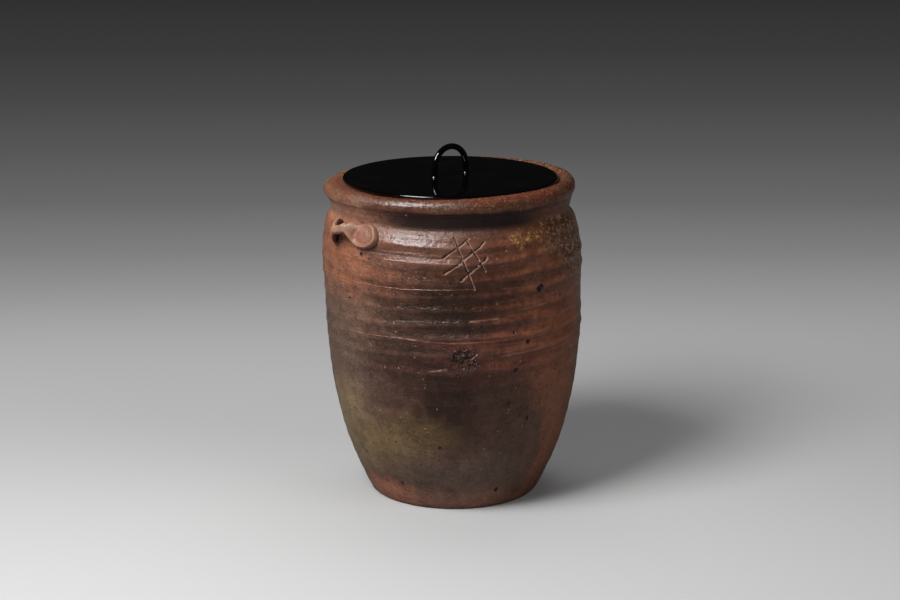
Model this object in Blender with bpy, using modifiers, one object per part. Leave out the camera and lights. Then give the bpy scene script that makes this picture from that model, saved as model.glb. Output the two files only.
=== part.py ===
# Stoneware water jar at real size: a thrown pot with a rolled lip, two strap ears pressed on under
# the lip, and a black lacquered lid that is lifted by a bent loop. Metres, +Z up, with the origin
# on the table under the middle of the jar. Azimuths are in degrees from the front, -Y, towards +X.

import math

import bmesh
import bpy
import numpy as np
from mathutils import Matrix, Vector

# The pot's wall. The neck's drop is counted from the top, and the shoulder's from the neck to the
# widest part
jarHeight = 0.2027
footRadius = 0.0536
bellyRadius = 0.0831
neckRadius = 0.0752
neckDrop = 0.0182
shoulderDrop = 0.0345
wallThickness = 0.0078
floorThickness = 0.0095
innerCornerRadius = 0.014
footBevel = 0.0009

# Height and radius of the wall's outline, from foot to belly and then from belly to neck
wallShares = (
    (0.0, 0.0), (0.08, 0.193), (0.16, 0.376), (0.24, 0.53), (0.36, 0.692), (0.48, 0.812),
    (0.6, 0.902), (0.72, 0.958), (0.84, 0.97), (0.92, 0.98), (1.0, 1.0),
)
shoulderShares = ((0.35, 0.937), (0.52, 0.835), (0.7, 0.665), (0.87, 0.38), (1.0, 0.0))

# The rolled lip is an oval bead on a flared underside, and the lid's seat is a ledge inside it
lipRadius = 0.0794
lipHalfWidth = 0.0054
lipHalfDepth = 0.005
lipStart = -40
flarePower = 1.6
mouthRadius = 0.0622
mouthEdge = 0.0012
mouthDepth = 0.0045

# Throwing ridges go round the upper wall and end below the ears
ridgePitch = 0.0098
ridgeDepth = 0.00035
ridgeStartShare = 0.5

# The pot was thrown a little out of true: its foot and its lip stand off its middle along X, and
# the lip outside the seat rises to one side
footShift = 0.0014
lipShift = -0.0021
leanPower = 3
lipTilt = 0.002
lipTiltAzimuth = 68

# The strap ears, hung below the neck
earAzimuths = {"ear_front": -49, "ear_back": 131}
earDrop = 0.0071
earLength = 0.044
leftPadLength = 0.0145
rightPadLength = 0.0195
padHeight = 0.0138
padThickness = 0.0022
barHeight = 0.0058
barThickness = 0.0052
barLift = 0.0036
barRaise = 0.0012
leftPadDrop = 0.0016
pressedFlatShare = 0.18
roundShare = 0.5

# The lid's board, with the step below it that keeps it in the mouth. It lies a little off the
# lip's middle along X
lidRadius = 0.068
lidThickness = 0.0028
lidDrop = 0.0017
lidClearance = 0.0016
lidShift = 0.0009
stepDepth = 0.003
stepEdge = 0.0006
stepClearance = 0.0014

# The lid's loop
loopSpan = 0.0257
loopLegHeight = 0.0053
loopThickness = 0.0041
loopAzimuth = 40
tenonDepth = 0.0035

# Fits
seatGap = 0.0003
holeClearance = 0.0003
cutOverrun = 0.001
mergeDistance = 0.00008
slopeStep = 0.0001

# Facets
potSides = 52
lidSides = 56
pointsPerRidge = 4
lipPoints = 12
flarePoints = 6
shoulderPoints = 7
lowerWallPoints = 10
innerWallPoints = 11
cornerPoints = 5
edgePoints = 4
earStations = 25
earSectionPoints = 14
loopArcPoints = 15
loopSides = 3
sharpAngle = 38

neckHeight = jarHeight - neckDrop
bellyHeight = neckHeight - shoulderDrop
earHeight = neckHeight - earDrop
lipMiddleRadius = lipRadius - lipHalfWidth
lipMiddleHeight = jarHeight - lipHalfDepth
lipBottom = lipMiddleHeight - lipHalfDepth
seatRadius = lidRadius + lidClearance
seatHeight = jarHeight - lidDrop
ridgeStart = bellyHeight * ridgeStartShare
ridgeEnd = earHeight - padHeight / 2 - barRaise
ridgeCount = max(1, round((ridgeEnd - ridgeStart) / ridgePitch))


def clearScene():
    for obj in list(bpy.data.objects):
        bpy.data.objects.remove(obj)


def collectionNamed(name):
    made = bpy.data.collections.new(name)
    bpy.context.scene.collection.children.link(made)
    return made


def materialNamed(name, colour, roughness, coat):
    made = bpy.data.materials.new(name)
    made.use_nodes = True
    shader = made.node_tree.nodes["Principled BSDF"]
    shader.inputs["Base Color"].default_value = (*colour, 1)
    shader.inputs["Roughness"].default_value = roughness
    shader.inputs["Metallic"].default_value = 0
    shader.inputs["Coat Weight"].default_value = coat
    return made


def smoothCurve(knots, at):
    # A cubic through the knots, level at the last one
    x, y = np.array(knots).T
    slope = np.gradient(y, x)
    slope[-1] = 0
    i = np.clip(np.searchsorted(x, at, side="right") - 1, 0, len(x) - 2)
    width = x[i + 1] - x[i]
    t = (at - x[i]) / width
    start = (1 + 2 * t) * (1 - t) ** 2 * y[i] + t * (1 - t) ** 2 * width * slope[i]
    end = t * t * (3 - 2 * t) * y[i + 1] + t * t * (t - 1) * width * slope[i + 1]
    return start + end


def smoothStep(low, high, value):
    t = np.clip((value - low) / (high - low), 0, 1)
    return t * t * (3 - 2 * t)


def wallRadius(height):
    # The wall's outline without its ridges, from the foot to the neck
    lower = [
        (bellyHeight * up, footRadius + (bellyRadius - footRadius) * out)
        for up, out in wallShares
    ]
    upper = [
        (bellyHeight + (neckHeight - bellyHeight) * up, neckRadius + (bellyRadius - neckRadius) * out)
        for up, out in shoulderShares
    ]
    return smoothCurve(lower + upper, height)


def ridgeRadius(height):
    # A cosine along the wall, drawn in over one ridge at each end of its stretch
    turn = (ridgeEnd - ridgeStart) / ridgeCount
    fade = smoothStep(ridgeStart, ridgeStart + turn, height)
    fade = fade * (1 - smoothStep(ridgeEnd - turn, ridgeEnd, height))
    return wallRadius(height) + ridgeDepth * fade * np.cos(2 * math.pi * (height - ridgeStart) / turn)


def lean(height):
    return footShift + (lipShift - footShift) * (height / jarHeight) ** leanPower


def thrown(points):
    # Tilts the lip outside the seat and leans the whole pot, both by formula
    x, y, height = points.T
    azimuth = np.arctan2(x, -y) - math.radians(lipTiltAzimuth)
    outside = smoothStep(seatRadius, lipMiddleRadius, np.hypot(x, y))
    tilt = lipTilt * np.cos(azimuth) * outside * smoothStep(lipBottom, jarHeight, height)
    return np.column_stack((x + lean(height), y, height + tilt))


def arc(radius, height, reachOut, reachUp, start, end, count):
    # Points on an oval in the profile's plane, from one angle to another
    turn = np.radians(np.linspace(start, end, count))
    return np.column_stack((radius + reachOut * np.cos(turn), height + reachUp * np.sin(turn)))


def potProfile():
    # From the middle of the floor up the inside, over the lip and down the outside to the base
    cornerTop = floorThickness + innerCornerRadius
    cornerRadius = wallRadius(cornerTop) - wallThickness - innerCornerRadius
    corner = arc(cornerRadius, cornerTop, innerCornerRadius, innerCornerRadius, -90, 0, cornerPoints)
    insideUp = np.linspace(cornerTop, neckHeight, innerWallPoints)[1:]
    inside = np.column_stack((wallRadius(insideUp) - wallThickness, insideUp))
    throat = np.array([(mouthRadius, seatHeight - mouthDepth)])
    mouth = arc(mouthRadius + mouthEdge, seatHeight - mouthEdge, mouthEdge, mouthEdge,
                180, 90, edgePoints)
    seatShare = (seatHeight - lipMiddleHeight) / lipHalfDepth
    lipEnd = 180 - math.degrees(math.asin(seatShare))
    lip = arc(lipMiddleRadius, lipMiddleHeight, lipHalfWidth, lipHalfDepth,
              lipEnd, lipStart, lipPoints)
    flareRadius, flareTop = lip[-1]
    flareDown = np.linspace(flareTop, neckHeight, flarePoints)[1:-1]
    flareShare = ((flareDown - neckHeight) / (flareTop - neckHeight)) ** flarePower
    flare = np.column_stack((neckRadius + (flareRadius - neckRadius) * flareShare, flareDown))
    shoulderDown = np.linspace(neckHeight, ridgeEnd, shoulderPoints)
    ridgesDown = np.linspace(ridgeEnd, ridgeStart, pointsPerRidge * ridgeCount + 1)[1:]
    lowerDown = np.linspace(ridgeStart, footBevel, lowerWallPoints)[1:]
    down = np.concatenate((shoulderDown, ridgesDown, lowerDown))
    outside = np.column_stack((ridgeRadius(down), down))
    middle = [(0, floorThickness)]
    base = [(footRadius - footBevel, 0), (0, 0)]
    return np.vstack((middle, corner, inside, throat, mouth, lip, flare, outside, base))


def turned(name, profile, sides, collection):
    # An object with the profile's points at +X, turned about Z
    mesh = bpy.data.meshes.new(name)
    points = [(radius, 0, height) for radius, height in profile]
    mesh.from_pydata(points, [(i, i + 1) for i in range(len(points) - 1)], [])
    obj = bpy.data.objects.new(name, mesh)
    collection.objects.link(obj)
    screw = obj.modifiers.new("Turn", "SCREW")
    screw.axis = "Z"
    screw.angle = 2 * math.pi
    screw.steps = sides
    screw.render_steps = sides
    screw.use_merge_vertices = True
    screw.merge_threshold = mergeDistance
    return obj


def asMesh(obj, collection, material):
    # The evaluated shape as a mesh object of its own, with loose caps welded
    name = obj.name
    graph = bpy.context.evaluated_depsgraph_get()
    mesh = bpy.data.meshes.new_from_object(obj.evaluated_get(graph))
    place = obj.matrix_world.copy()
    bpy.data.objects.remove(obj)
    shape = bmesh.new()
    shape.from_mesh(mesh)
    bmesh.ops.remove_doubles(shape, verts=shape.verts, dist=mergeDistance)
    shape.to_mesh(mesh)
    shape.free()
    made = bpy.data.objects.new(name, mesh)
    made.matrix_world = place
    collection.objects.link(made)
    finish(made, material)
    return made


def finish(obj, material):
    obj.data.materials.clear()
    obj.data.materials.append(material)
    obj.data.shade_smooth()
    obj.data.set_sharp_from_angle(angle=math.radians(sharpAngle))


def makePot(collection, material):
    pot = asMesh(turned("jar_body", potProfile(), potSides, collection), collection, material)
    points = np.empty(len(pot.data.vertices) * 3, np.float32)
    pot.data.vertices.foreach_get("co", points)
    pot.data.vertices.foreach_set("co", thrown(points.reshape(-1, 3)).ravel())
    pot.data.update()
    return pot


def padShape(along, middle, length):
    # Half an oval pad's height as a share of its largest, along the ear
    away = (along - middle) / (length / 2)
    return np.sqrt(np.clip(1 - away * away, 0, 1))


def earSections():
    # For each station along the ear: its place, middle height, half height, inner face, thickness
    # and how flat its inner side is pressed
    leftMiddle = -(earLength - leftPadLength) / 2
    rightMiddle = (earLength - rightPadLength) / 2
    barStart = leftMiddle + leftPadLength / 2
    barEnd = rightMiddle - rightPadLength / 2
    along = earLength / 2 * np.sin(np.radians(np.linspace(-88, 88, earStations)))
    left = padShape(along, leftMiddle, leftPadLength)
    right = padShape(along, rightMiddle, rightPadLength)
    pad = np.maximum(left, right)
    lift = smoothStep(leftMiddle, barStart, along) * (1 - smoothStep(barEnd, rightMiddle, along))
    half = ((pad * padHeight / 2) ** 4 + (lift * barHeight / 2) ** 4) ** 0.25
    inner = seatGap + barLift * lift
    thickness = padThickness * np.sqrt(pad) * (1 - lift) + barThickness * lift
    drop = leftPadDrop * (1 - smoothStep(barStart, barEnd, along))
    middle = earHeight + barRaise * lift - drop
    flat = pressedFlatShare + (roundShare - pressedFlatShare) * lift
    return along, middle, half, inner, thickness, flat


def makeEar(name, azimuth, collection, material):
    # A loft of unlike sections, from a flat pad through a round bar to the other pad, laid on the
    # wall: each section is drawn in height along the wall and distance off it
    along, middle, half, inner, thickness, flat = (v[:, None] for v in earSections())
    turn = np.linspace(0, 2 * math.pi, earSectionPoints, endpoint=False)[None, :]
    across = np.sign(np.cos(turn)) * np.abs(np.cos(turn)) ** 0.8
    off = np.sign(np.sin(turn)) * np.abs(np.sin(turn)) ** 0.8
    reach = np.where(off > 0, thickness * (1 - flat), thickness * flat)
    distance = inner + thickness * flat + reach * off
    height = middle + half * across
    radius = wallRadius(height)
    rise = (wallRadius(height + slopeStep) - wallRadius(height - slopeStep)) / (2 * slopeStep)
    length = np.sqrt(1 + rise * rise)
    outward = radius + distance / length
    upward = height - distance * rise / length
    angle = math.radians(azimuth) + along / wallRadius(np.array([earHeight]))
    x = outward * np.sin(angle) + lean(upward)
    y = -outward * np.cos(angle)
    points = np.stack((x, y, upward), axis=-1).reshape(-1, 3)
    count = earSectionPoints
    faces = [
        (row * count + i, row * count + (i + 1) % count,
         (row + 1) * count + (i + 1) % count, (row + 1) * count + i)
        for row in range(earStations - 1)
        for i in range(count)
    ]
    faces.append(tuple(reversed(range(count))))
    faces.append(tuple(range((earStations - 1) * count, earStations * count)))
    seat = Vector(points.mean(axis=0))
    mesh = bpy.data.meshes.new(name)
    mesh.from_pydata([tuple(Vector(point) - seat) for point in points], [], faces)
    ear = bpy.data.objects.new(name, mesh)
    ear.location = seat
    collection.objects.link(ear)
    finish(ear, material)
    return ear


def boardProfile():
    # The board's edge is round; heights are counted from its underside
    edge = lidThickness / 2
    round_ = arc(lidRadius - edge, edge, edge, edge, 90, -90, edgePoints)
    stepRadius = mouthRadius - stepClearance
    step = [(stepRadius, 0), (stepRadius, stepEdge - stepDepth), (stepRadius - stepEdge, -stepDepth)]
    return np.vstack(([(0, lidThickness)], round_, step, [(0, -stepDepth)]))


def legCutter(side, collection):
    # A hole for one leg, open at the board's top
    shape = bmesh.new()
    depth = tenonDepth + seatGap + cutOverrun
    radius = loopThickness / 2 + holeClearance
    bmesh.ops.create_cone(shape, cap_ends=True, segments=16, radius1=radius, radius2=radius, depth=depth)
    mesh = bpy.data.meshes.new("leg_cutter")
    shape.to_mesh(mesh)
    shape.free()
    cutter = bpy.data.objects.new("leg_cutter", mesh)
    cutter.hide_render = True
    cutter.display_type = "WIRE"
    cutter.matrix_basis = Matrix.Rotation(math.radians(loopAzimuth), 4, "Z") @ Matrix.Translation(
        (side * loopSpan / 2, 0, lidThickness + cutOverrun - depth / 2)
    )
    collection.objects.link(cutter)
    return cutter


def makeBoard(collection, cutters, material, parent):
    board = turned("lid_board", boardProfile(), lidSides, collection)
    board.parent = parent
    for side in (-1, 1):
        cutter = legCutter(side, cutters)
        cutter.parent = parent
        cut = board.modifiers.new("Leg hole", "BOOLEAN")
        cut.operation = "DIFFERENCE"
        cut.object = cutter
    finish(board, material)
    return board


def makeLoop(collection, material, parent):
    # A bar bent to an arch, with straight legs that go down into the board
    radius = loopSpan / 2
    turn = np.linspace(0, math.pi, loopArcPoints)
    arch = [(radius * math.cos(a), 0, loopLegHeight + radius * math.sin(a)) for a in turn]
    path = [(radius, 0, -tenonDepth), (radius, 0, 0), *arch, (-radius, 0, 0), (-radius, 0, -tenonDepth)]
    curve = bpy.data.curves.new("lid_loop", "CURVE")
    curve.dimensions = "3D"
    curve.bevel_depth = loopThickness / 2
    curve.bevel_resolution = loopSides
    curve.use_fill_caps = True
    spline = curve.splines.new("POLY")
    spline.points.add(len(path) - 1)
    for point, place in zip(spline.points, path):
        point.co = (*place, 1)
    drawn = bpy.data.objects.new("lid_loop", curve)
    collection.objects.link(drawn)
    bpy.context.view_layer.update()
    loop = asMesh(drawn, collection, material)
    loop.parent = parent
    loop.location = (0, 0, lidThickness)
    loop.rotation_euler = (0, 0, math.radians(loopAzimuth))
    return loop


def makeLidAxis(collection):
    # The lid lifts along this empty's Z
    axis = bpy.data.objects.new("lid_lift_axis", None)
    axis.location = (lean(jarHeight) + lidShift, 0, seatHeight + seatGap)
    collection.objects.link(axis)
    return axis


def main():
    clearScene()
    jar = collectionNamed("water_jar")
    cutters = collectionNamed("cutters")
    clay = materialNamed("stoneware", (0.13, 0.055, 0.03), 0.42, 0)
    earClay = materialNamed("ear_clay", (0.22, 0.10, 0.06), 0.4, 0)
    lacquer = materialNamed("lid_lacquer", (0.004, 0.004, 0.004), 0.06, 1)
    loopLacquer = materialNamed("loop_lacquer", (0.004, 0.004, 0.004), 0.08, 1)
    makePot(jar, clay)
    for name, azimuth in earAzimuths.items():
        makeEar(name, azimuth, jar, earClay)
    lidAxis = makeLidAxis(jar)
    makeBoard(jar, cutters, lacquer, lidAxis)
    makeLoop(jar, loopLacquer, lidAxis)
    bpy.context.view_layer.update()


main()
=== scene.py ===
# Looks for a wood-fired stoneware water jar with a black lacquered lid. Metres, +Z up, origin on the
# table under the middle of the jar. Azimuths run from the front, -Y, towards +X.

import math

import bpy
import numpy as np
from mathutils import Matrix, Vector


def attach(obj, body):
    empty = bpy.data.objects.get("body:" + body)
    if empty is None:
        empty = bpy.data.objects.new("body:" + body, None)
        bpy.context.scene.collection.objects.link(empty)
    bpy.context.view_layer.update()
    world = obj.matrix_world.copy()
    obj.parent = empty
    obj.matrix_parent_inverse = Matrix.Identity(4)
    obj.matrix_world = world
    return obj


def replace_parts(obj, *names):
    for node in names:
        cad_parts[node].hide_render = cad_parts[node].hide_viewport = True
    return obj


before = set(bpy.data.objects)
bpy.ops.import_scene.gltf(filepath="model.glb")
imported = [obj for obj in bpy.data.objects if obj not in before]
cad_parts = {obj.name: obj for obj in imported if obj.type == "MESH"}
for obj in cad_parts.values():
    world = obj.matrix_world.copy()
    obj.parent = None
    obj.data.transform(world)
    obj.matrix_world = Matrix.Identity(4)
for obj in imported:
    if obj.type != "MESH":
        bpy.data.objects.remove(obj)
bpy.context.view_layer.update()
print("frame loaded:", ", ".join(sorted(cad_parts)))


# Shared shape tools

fullTurn = 2 * math.pi


def smoothStep(low, high, value):
    # From 0 at "low" to 1 at "high": three times the share's square less twice its cube
    t = np.clip((value - low) / (high - low), 0, 1)
    return t * t * (3 - 2 * t)


def bell(value, width):
    # 1 at zero, and a power of e that falls with the square of the value over the width
    return np.exp(-(value / width) ** 2)


def smoothCurve(knots, at):
    # A cubic from each knot to the next, with the mean slope of its neighbours, level at the last one
    x, y = np.array(knots).T
    slope = np.gradient(y, x)
    slope[-1] = 0
    i = np.clip(np.searchsorted(x, at, side="right") - 1, 0, len(x) - 2)
    width = x[i + 1] - x[i]
    t = (at - x[i]) / width
    start = (1 + 2 * t) * (1 - t) ** 2 * y[i] + t * (1 - t) ** 2 * width * slope[i]
    end = t * t * (3 - 2 * t) * y[i + 1] + t * t * (t - 1) * width * slope[i + 1]
    return start + end


def wander(azimuth, height, seed, waves, rise):
    # A sum of sines, about -1 to 1, that closes on itself round the pot: each has a whole number of
    # waves to a turn, a seeded slant of up to one wave in "rise" metres, and a seeded phase
    random = np.random.default_rng(seed)
    total = 0
    for wave in waves:
        slant = random.uniform(-1, 1) * fullTurn / rise
        phase = random.uniform(0, fullTurn)
        total = total + np.sin(wave * azimuth + slant * height + phase)
    usualPeak = 1.4 * math.sqrt(len(waves))
    return total / usualPeak


def layered(azimuth, height, layers):
    # Wandering reliefs added up: each has its depth, seed, waves and rise
    return sum(depth * wander(azimuth, height, *layer) for depth, *layer in layers)


def fromFront(azimuth):
    # The same direction, as an angle of up to half a turn to the left or the right of the front
    return np.arctan2(np.sin(azimuth), np.cos(azimuth))


def arc(radius, height, reachOut, reachUp, start, end, count):
    # Points on an oval in the profile's plane, from one angle to another
    turn = np.radians(np.linspace(start, end, count))
    return np.column_stack((radius + reachOut * np.cos(turn), height + reachUp * np.sin(turn)))


def tangents(rows):
    # The direction of a line of points at each of them, of length 1
    along = np.gradient(rows, axis=0)
    return along / np.linalg.norm(along, axis=1, keepdims=True)


def turnedRound(radius, azimuth, height, shift=0):
    # Points at a radius from the axis, at an azimuth and a height, moved along X by the shift
    parts = np.broadcast_arrays(radius * np.sin(azimuth) + shift, -radius * np.cos(azimuth), height)
    return np.stack(parts, axis=-1)


def surface(name, points, startPole, endPole, maps=None):
    # A grid of rows and columns whose columns close on themselves, with a fan from a pole to the
    # first row and another to the last. A face points to the side from which the rows run down and
    # the columns run to the right
    rows, columns = points.shape[:2]
    flat = points.reshape(-1, 3)
    row, column = np.meshgrid(np.arange(rows - 1), np.arange(columns), indexing="ij")
    beside = (column + 1) % columns
    quads = np.stack((row * columns + column, (row + 1) * columns + column,
                      (row + 1) * columns + beside, row * columns + beside), axis=-1)
    loops = [quads.ravel()]
    sizes = [np.full(row.size, 4)]
    rim = np.arange(columns)
    after = (rim + 1) % columns
    last = (rows - 1) * columns
    for pole, first, second in ((startPole, rim, after), (endPole, last + after, last + rim)):
        loops.append(np.stack((np.full(columns, len(flat)), first, second), axis=-1).ravel())
        sizes.append(np.full(columns, 3))
        flat = np.vstack((flat, pole))
    loops, sizes = np.concatenate(loops), np.concatenate(sizes)
    mesh = bpy.data.meshes.new(name)
    mesh.vertices.add(len(flat))
    mesh.vertices.foreach_set("co", flat.astype(np.float32).ravel())
    mesh.loops.add(len(loops))
    mesh.loops.foreach_set("vertex_index", loops.astype(np.int32))
    mesh.polygons.add(len(sizes))
    mesh.polygons.foreach_set("loop_start", (np.cumsum(sizes) - sizes).astype(np.int32))
    mesh.update(calc_edges=True)
    for title, values in (maps or {}).items():
        spread = np.zeros(len(flat), np.float32)
        spread[:rows * columns] = np.broadcast_to(values, (rows, columns)).ravel()
        mesh.attributes.new(title, "FLOAT", "POINT").data.foreach_set("value", spread)
    mesh.shade_smooth()
    made = bpy.data.objects.new(name, mesh)
    bpy.context.scene.collection.objects.link(made)
    return made


# The pot. Its wall is the height and the radius of the outside, from the foot to the neck. Ring
# accents are where the rings are fainter or stronger: angle from the front, share added and reach.
# Layers are wandering reliefs: depth, seed, waves to a turn and rise. Row bands say down to which
# height the outside's rows run, and how many

pot = {
    "height": 0.2027,
    "wall": ((0, 0.0536), (0.012, 0.0593), (0.024, 0.0647), (0.036, 0.0692), (0.054, 0.0740),
             (0.072, 0.07755), (0.09, 0.0802), (0.108, 0.08186), (0.126, 0.0822), (0.138, 0.0825),
             (0.15, 0.0831), (0.1621, 0.0826), (0.168, 0.0818), (0.1742, 0.08045), (0.18, 0.0782),
             (0.1845, 0.0752)),
    "thickness": 0.0078,
    "floor": 0.0095,
    "corner": 0.014,
    "footEdge": 0.0012,
    "lipRadius": 0.0794,
    "lipHalfWidth": 0.0054,
    "lipHalfDepth": 0.005,
    "lipStart": -40,
    "flarePower": 1.6,
    "throat": (0.0645, 0.1915),
    "mouth": 0.0622,
    "mouthEdge": 0.0012,
    "mouthDepth": 0.0045,
    "seatDrop": 0.0017,
    "footShift": 0.0014,
    "lipShift": -0.0021,
    "leanPower": 3,
    "lipTilt": 0.002,
    "lipTiltAzimuth": 68,
    "lipTiltRadii": (0.0696, 0.074),
    "ridgePitch": 0.0098,
    "ridgeDepth": 0.0009,
    "ringAccents": ((-1.15, -0.65, 0.5), (1.55, -0.35, 0.3), (0.3, 0.5, 0.65)),
    "wallLayers": ((0.0002, 5, (2, 3, 5), 0.07), (0.00008, 6, (9, 14, 23), 0.012)),
    "lipLayers": ((0.00025, 7, (2, 3, 5, 7), 0.02), (0.00008, 8, (17, 26, 41), 0.006)),
    "innerLayers": ((0.0003, 9, (2, 3, 5), 0.08),),
    "shelf": {"height": 0.1742, "halfDepth": 0.002, "rise": 0.0004},
    "bead": {"angle": -1.35, "height": 0.1945, "halfDepth": 0.0022, "rise": 0.0009},
    "footFade": 0.004,
    "neckFade": 0.18,
    "lipReliefRadii": (0.0705, 0.073),
    "innerPitch": 0.0125,
    "innerDepth": 0.00045,
    "columns": 410,
    "crowding": 0.45,
    "rowBands": ((0.148, 60), (0.12, 27), (0.096, 33)),
    "footRows": 40,
    "floorRings": (0.004, 6),
    "baseRings": (0.045, 0.03, 0.012),
}
neckHeight, neckRadius = pot["wall"][-1]
footRadius = pot["wall"][0][1]

# Slanted cuts that a blade left, crossed like lattice: azimuth and height of both ends, width, depth
cuts = (
    (13.8, 0.1778, -3.4, 0.1597, 0.0011, 0.00026),
    (14.8, 0.1690, 3.4, 0.1556, 0.0010, 0.00016),
    (6.9, 0.1804, -4.2, 0.1690, 0.0010, 0.00014),
    (0.6, 0.1812, 9.0, 0.1502, 0.0009, 0.00016),
    (6.0, 0.1796, 13.8, 0.1606, 0.0009, 0.00012),
)

# A burst stone, a shallow dent and a small lump, each with the wall's radius there
burst = {"azimuth": 3.5, "height": 0.1065, "wall": 0.0822, "reach": 0.0105, "cells": 60,
         "depth": 0.0015, "crack": 0.0009}
dent = {"azimuth": 39, "height": 0.038, "wall": 0.066, "halfWidth": 0.0155, "halfHeight": 0.024,
        "depth": 0.0010}
lump = {"azimuth": 73, "height": 0.151, "wall": 0.083, "reach": 0.0022, "rise": 0.0004}

# The radii at which the wall is unrolled to a flat sheet for the cuts' relief and for the paint
sheet = {"relief": 0.0815, "paint": 0.082}


def wallRadius(height):
    return smoothCurve(pot["wall"], height)


def lean(height):
    # How far the pot's middle stands off along X: from the foot's shift to the lip's by a power
    share = (height / pot["height"]) ** pot["leanPower"]
    return pot["footShift"] + (pot["lipShift"] - pot["footShift"]) * share


def onWall(degrees, height):
    # The point of the plain outside at an azimuth and a height
    return turnedRound(wallRadius(height), math.radians(degrees), height, lean(height)).tolist()


def toStroke(along, up, stroke):
    # Distance from the line between a stroke's ends, and how far along it, from 0 to 1
    scale = math.radians(1) * sheet["relief"]
    start = np.array((stroke[0] * scale, stroke[1]))
    way = np.array((stroke[2] * scale, stroke[3])) - start
    share = ((along - start[0]) * way[0] + (up - start[1]) * way[1]) / (way @ way)
    held = np.clip(share, 0, 1)
    away = np.hypot(along - start[0] - held * way[0], up - start[1] - held * way[1])
    return away, held


def cutRelief(along, up):
    # A valley along each stroke with the pushed-up clay on both of its banks, shallow at the ends
    total = np.zeros_like(along)
    for stroke in cuts:
        away, share = toStroke(along, up, stroke)
        width, depth = stroke[4:]
        deep = depth * (0.35 + 0.65 * np.sin(math.pi * (0.08 + 0.84 * share)))
        valley = -deep * bell(away, 0.5 * width)
        bank = 0.35 * deep * bell(away - 1.05 * width, 0.45 * width)
        total = total + valley + bank
    return total


def burstRelief(azimuth, height):
    # Seeded cells round the burst: each lies a little higher or lower, and their borders are cracks
    random = np.random.default_rng(11)
    along = (azimuth - math.radians(burst["azimuth"])) * burst["wall"]
    up = height - burst["height"]
    reach = burst["reach"]
    places = random.normal(0, 0.45 * reach, (burst["cells"], 2))
    rise = random.uniform(-1, 0.5, burst["cells"])
    away = np.hypot(along[..., None] - places[:, 0], up[..., None] - places[:, 1])
    order = np.argsort(away, axis=-1)
    first = np.take_along_axis(away, order[..., :1], -1)[..., 0]
    second = np.take_along_axis(away, order[..., 1:2], -1)[..., 0]
    crack = 1 - smoothStep(0, burst["crack"], second - first)
    inside = 1 - smoothStep(0.35 * reach, 1.15 * reach, np.hypot(along, up * 1.1))
    return inside * burst["depth"] * (0.55 * rise[order[..., 0]] - 0.8 * crack)


def dentRelief(front, height):
    # A hollow in a rounded square, deepest at its left side
    across = (front - math.radians(dent["azimuth"])) * dent["wall"] / dent["halfWidth"]
    rise = (height - dent["height"]) / dent["halfHeight"]
    pressed = 1 - smoothStep(0.7, 1.0, np.sqrt(across ** 4 + rise ** 4) ** 0.5)
    return -dent["depth"] * pressed * (1 - smoothStep(-1, 1.2, across))


def ringShape(azimuth, height):
    # The throwing rings are one helix that climbs a pitch each turn: a narrow crest and a wide valley
    # from a power of the raised cosine, with finer lines between, all of wandering phase. To the
    # right of the front they climb a little more, and come back behind
    front = fromFront(azimuth)
    phase = fullTurn * height / pot["ridgePitch"] - azimuth + 0.3
    phase = phase + 1.2 * wander(azimuth, height, 3, (1, 2, 3), 0.06)
    phase = phase - 1.05 * smoothStep(0, 1.3, front) * (1 - smoothStep(1.8, 3.0, front))
    crest = (0.5 + 0.5 * np.cos(phase)) ** 1.8
    second = 2 * phase + 1.1 + wander(azimuth, height, 13, (1, 2, 4), 0.03)
    second = (0.5 + 0.5 * np.cos(second)) ** 3
    fine = np.cos(4 * phase + 2.5 * wander(azimuth, height, 14, (1, 3, 5), 0.02))
    share = 0.5 + 0.5 * wander(azimuth, height, 15, (1, 2, 3), 0.03)
    return crest + 0.35 * share * second + 0.1 * fine * (1 - share)


def ridgeRelief(azimuth, height):
    # The rings times a depth: faint near the foot, full from the belly up to below the neck, of
    # wandering strength and with the accents
    front = fromFront(azimuth)
    tall = smoothStep(0.066, 0.1, height) * (1 - smoothStep(0.17, 0.181, height))
    faint = 0.2 * (1 - smoothStep(0.06, 0.11, height))
    strong = np.clip(0.5 + 0.5 * wander(azimuth, height, 4, (1, 2, 4), 0.04), 0.08, 1)
    for middle, added, reach in pot["ringAccents"]:
        strong = strong * (1 + added * bell(front - middle, reach))
    depth = tall * strong + faint
    return pot["ridgeDepth"] * (depth * ringShape(azimuth, height) - 0.95 * tall)


def wallRelief(azimuth, height):
    # How far the outside of the wall stands off its plain outline: the rings, slow and quick
    # unevenness, a ledge that climbs to the left of the front, the cuts, the burst, dent and lump
    front = fromFront(azimuth)
    shelf = pot["shelf"]
    relief = ridgeRelief(azimuth, height) + layered(azimuth, height, pot["wallLayers"])
    ledge = smoothStep(-1.25, -0.9, front) * (1 - smoothStep(-0.1, 0.6, front))
    above = height - shelf["height"] + 0.004 * front
    relief = relief + shelf["rise"] * ledge * bell(above, shelf["halfDepth"])
    relief = relief + cutRelief(front * sheet["relief"], height)
    aside = np.abs(front - math.radians(burst["azimuth"]))
    near = (aside < 0.3) & (np.abs(height - burst["height"]) < 0.02)
    relief[near] = relief[near] + burstRelief(front[near], height[near])
    relief = relief + dentRelief(front, height)
    away = np.hypot((front - math.radians(lump["azimuth"])) * lump["wall"], height - lump["height"])
    return relief + lump["rise"] * bell(away, lump["reach"])


def lipRelief(azimuth, height):
    # Slow and quick unevenness of the rolled lip, and the clay that hangs over at its left
    bead = pot["bead"]
    thick = bell(fromFront(azimuth - bead["angle"]), 0.5) * bell(height - bead["height"], bead["halfDepth"])
    return layered(azimuth, height, pot["lipLayers"]) + bead["rise"] * thick


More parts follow.
